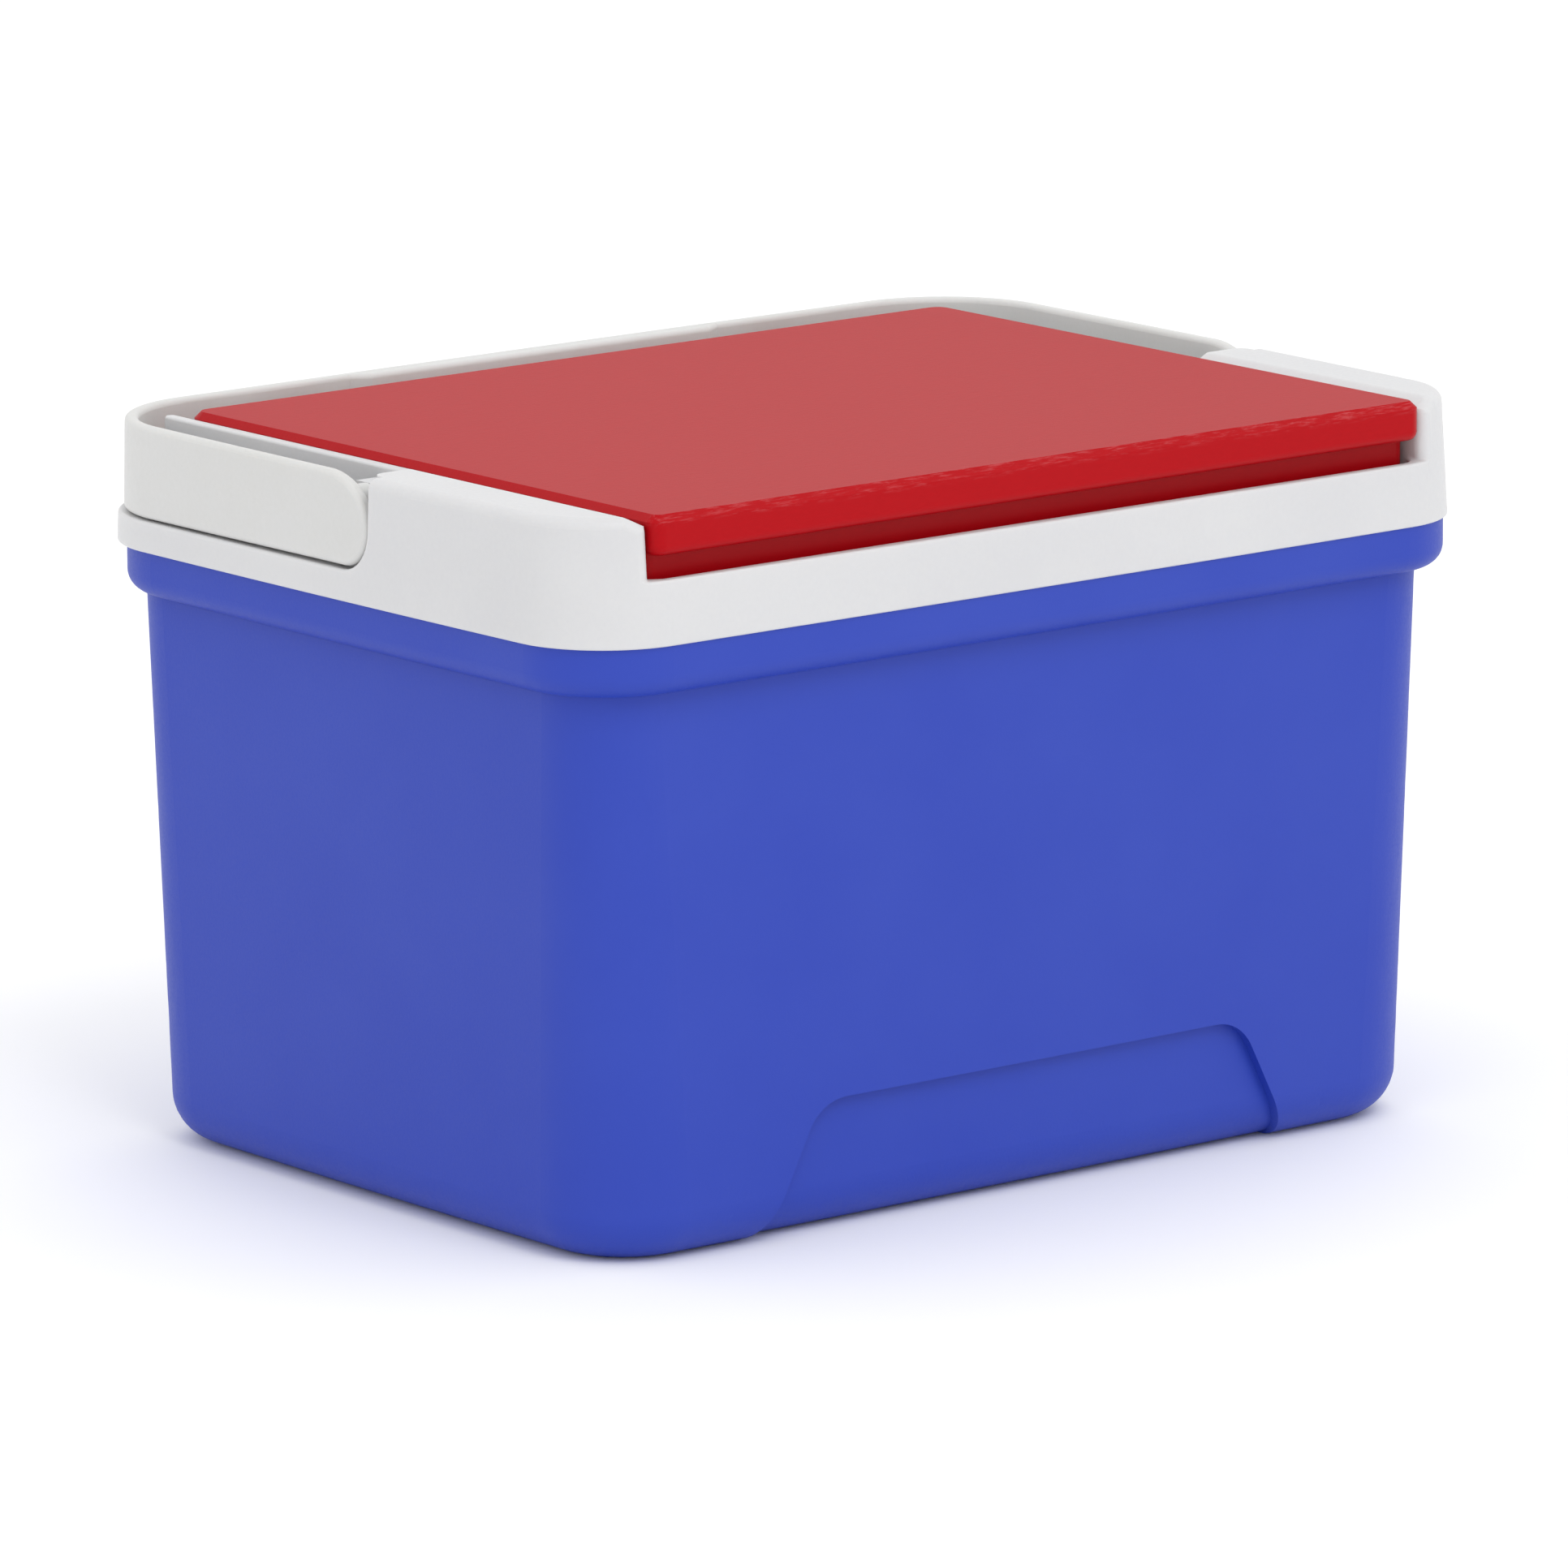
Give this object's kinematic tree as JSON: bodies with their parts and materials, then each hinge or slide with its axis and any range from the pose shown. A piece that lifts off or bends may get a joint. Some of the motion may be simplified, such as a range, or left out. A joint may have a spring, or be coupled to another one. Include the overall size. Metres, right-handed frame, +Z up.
{
  "type": "cooler chest",
  "caption": "Small foam-filled cooler chest with a tapered tub, a moulded top collar, a hinged lid with a finger lip, and a bail handle that lies around the back of the collar.",
  "frame": {"origin": "on the floor, under the middle of the chest", "axes": "+X to the right along the long side, the lid's finger lip faces -Y and its hinge is at +Y, +Z up"},
  "size_m": [0.3364, 0.2461, 0.2156],
  "materials": {
    "blue_shell": "fine moulded grain",
    "white_liner": "smooth moulded",
    "foam": "closed-cell foam",
    "white_collar": "satin moulded",
    "pin": "smooth moulded",
    "red_lid": "fine moulded grain, satin",
    "white_handle": "satin moulded"
  },
  "bodies": {
    "chest": {"outer_shell": "blue_shell", "inner_liner": "white_liner", "body_foam": "foam", "collar": "white_collar", "lid_hinge_pins": "pin", "handle_pivot_pins": "pin"},
    "lid": {"lid_shell": "red_lid", "lid_foam": "foam", "lid_pan": "white_liner"},
    "handle": {"bail_handle": "white_handle"}
  },
  "joints": [
    {"name": "lid_hinge", "type": "hinge", "parent": "chest", "child": "lid", "pos_m": [0, 0.1041, 0.2095], "axis": [-1, 0, 0], "range_deg": [0, 100]},
    {"name": "handle_pivot", "type": "hinge", "parent": "chest", "child": "handle", "pos_m": [0, -0.007, 0.2065], "axis": [1, 0, 0], "range_deg": [0, 90]}
  ]
}
